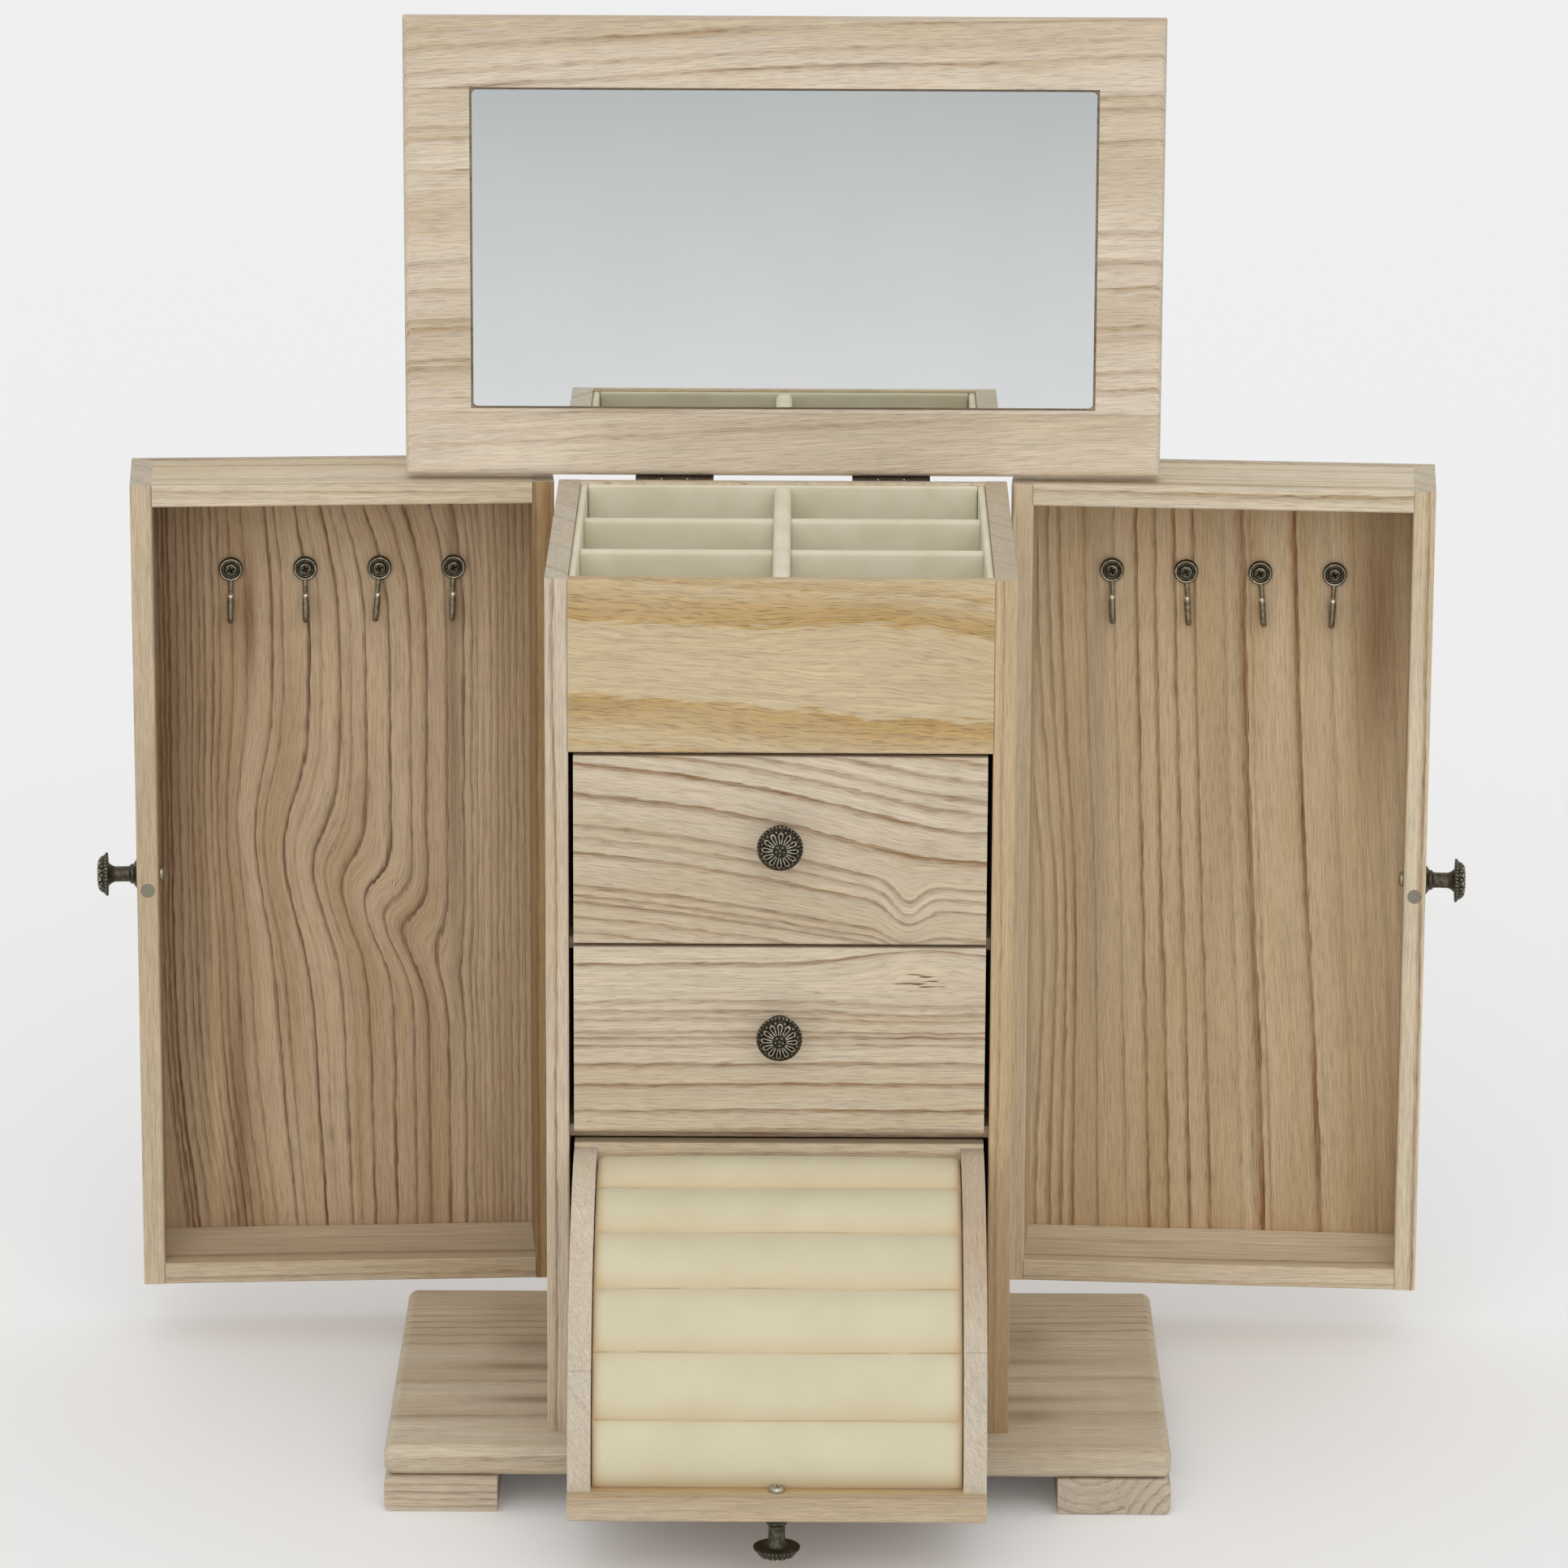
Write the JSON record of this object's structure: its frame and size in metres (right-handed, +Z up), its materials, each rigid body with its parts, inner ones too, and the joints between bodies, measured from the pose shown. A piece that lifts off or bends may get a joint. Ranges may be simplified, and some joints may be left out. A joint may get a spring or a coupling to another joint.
{
  "type": "jewelry box",
  "caption": "Wooden jewelry box with a mirrored lid, swing-out necklace doors with hooks, drawers and a tip-out tray of ring rolls, shown open on its base.",
  "frame": {"origin": "on the floor under the feet, midway across and midway from front to back of the box as it stands open", "axes": "+Z up, +Y from the drawer fronts to the back, +X to the right as seen from the front"},
  "size_m": [0.5726, 0.3444, 0.5671],
  "materials": {
    "paulownia_wood": "matt, torched grain",
    "velvet": "short pile",
    "antique_bronze": "darkened",
    "steel": "zinc plated",
    "mirror": "polished"
  },
  "bodies": {
    "case": {"base_plate": "paulownia_wood", "base_feet": "paulownia_wood", "left_side_panel": "paulownia_wood", "right_side_panel": "paulownia_wood", "back_panel": "paulownia_wood", "front_panel": "paulownia_wood", "compartment_floor": "paulownia_wood", "compartment_liner": "velvet", "compartment_dividers": "velvet", "upper_shelf": "paulownia_wood", "lower_shelf": "paulownia_wood", "case_magnets": "steel", "case_hinge_leaves": "antique_bronze", "hinge_pins": "antique_bronze", "tray_pivot_pins": "steel"},
    "lid": {"lid_panel": "paulownia_wood", "lid_mirror": "mirror", "lid_hinge_leaves": "antique_bronze"},
    "left_door": {"left_door_top_rail": "paulownia_wood", "left_door_bottom_rail": "paulownia_wood", "left_door_hinge_stile": "paulownia_wood", "left_door_knob_stile": "paulownia_wood", "left_door_back_panel": "paulownia_wood", "left_door_hooks": "antique_bronze", "left_door_knob": "antique_bronze", "left_door_knob_screw": "steel", "left_door_magnet": "steel", "left_door_hinge_leaves": "antique_bronze"},
    "right_door": {"right_door_top_rail": "paulownia_wood", "right_door_bottom_rail": "paulownia_wood", "right_door_hinge_stile": "paulownia_wood", "right_door_knob_stile": "paulownia_wood", "right_door_back_panel": "paulownia_wood", "right_door_hooks": "antique_bronze", "right_door_knob": "antique_bronze", "right_door_knob_screw": "steel", "right_door_magnet": "steel", "right_door_hinge_leaves": "antique_bronze"},
    "upper_drawer": {"upper_drawer_front": "paulownia_wood", "upper_drawer_sides": "paulownia_wood", "upper_drawer_back": "paulownia_wood", "upper_drawer_bottom": "paulownia_wood", "upper_drawer_lining": "velvet", "upper_drawer_knob": "antique_bronze", "upper_drawer_knob_screw": "steel"},
    "lower_drawer": {"lower_drawer_front": "paulownia_wood", "lower_drawer_sides": "paulownia_wood", "lower_drawer_back": "paulownia_wood", "lower_drawer_bottom": "paulownia_wood", "lower_drawer_lining": "velvet", "lower_drawer_knob": "antique_bronze", "lower_drawer_knob_screw": "steel"},
    "ring_tray": {"tray_front": "paulownia_wood", "tray_bottom_board": "paulownia_wood", "tray_left_side": "paulownia_wood", "tray_right_side": "paulownia_wood", "tray_ring_rolls": "velvet", "tray_knob": "antique_bronze", "tray_knob_screw": "steel"}
  },
  "joints": [
    {"name": "lid_hinge", "type": "hinge", "parent": "case", "child": "lid", "pos_m": [0, 0.11854, 0.37605], "axis": [1, 0, 0], "range_deg": [0, 90]},
    {"name": "left_door_hinge", "type": "hinge", "parent": "case", "child": "left_door", "pos_m": [-0.0923, 0.11854, 0.2034], "axis": [0, 0, 1], "range_deg": [-34, 86]},
    {"name": "right_door_hinge", "type": "hinge", "parent": "case", "child": "right_door", "pos_m": [0.0923, 0.11854, 0.2034], "axis": [0, 0, -1], "range_deg": [-34, 86]},
    {"name": "upper_drawer_slide", "type": "slide", "parent": "case", "child": "upper_drawer", "axis": [0, -1, 0], "range_m": [0, 0.11]},
    {"name": "lower_drawer_slide", "type": "slide", "parent": "case", "child": "lower_drawer", "axis": [0, -1, 0], "range_m": [0, 0.11]},
    {"name": "ring_tray_pivot", "type": "hinge", "parent": "case", "child": "ring_tray", "pos_m": [0, -0.05516, 0.0355], "axis": [-1, 0, 0], "range_deg": [0, 90]}
  ]
}
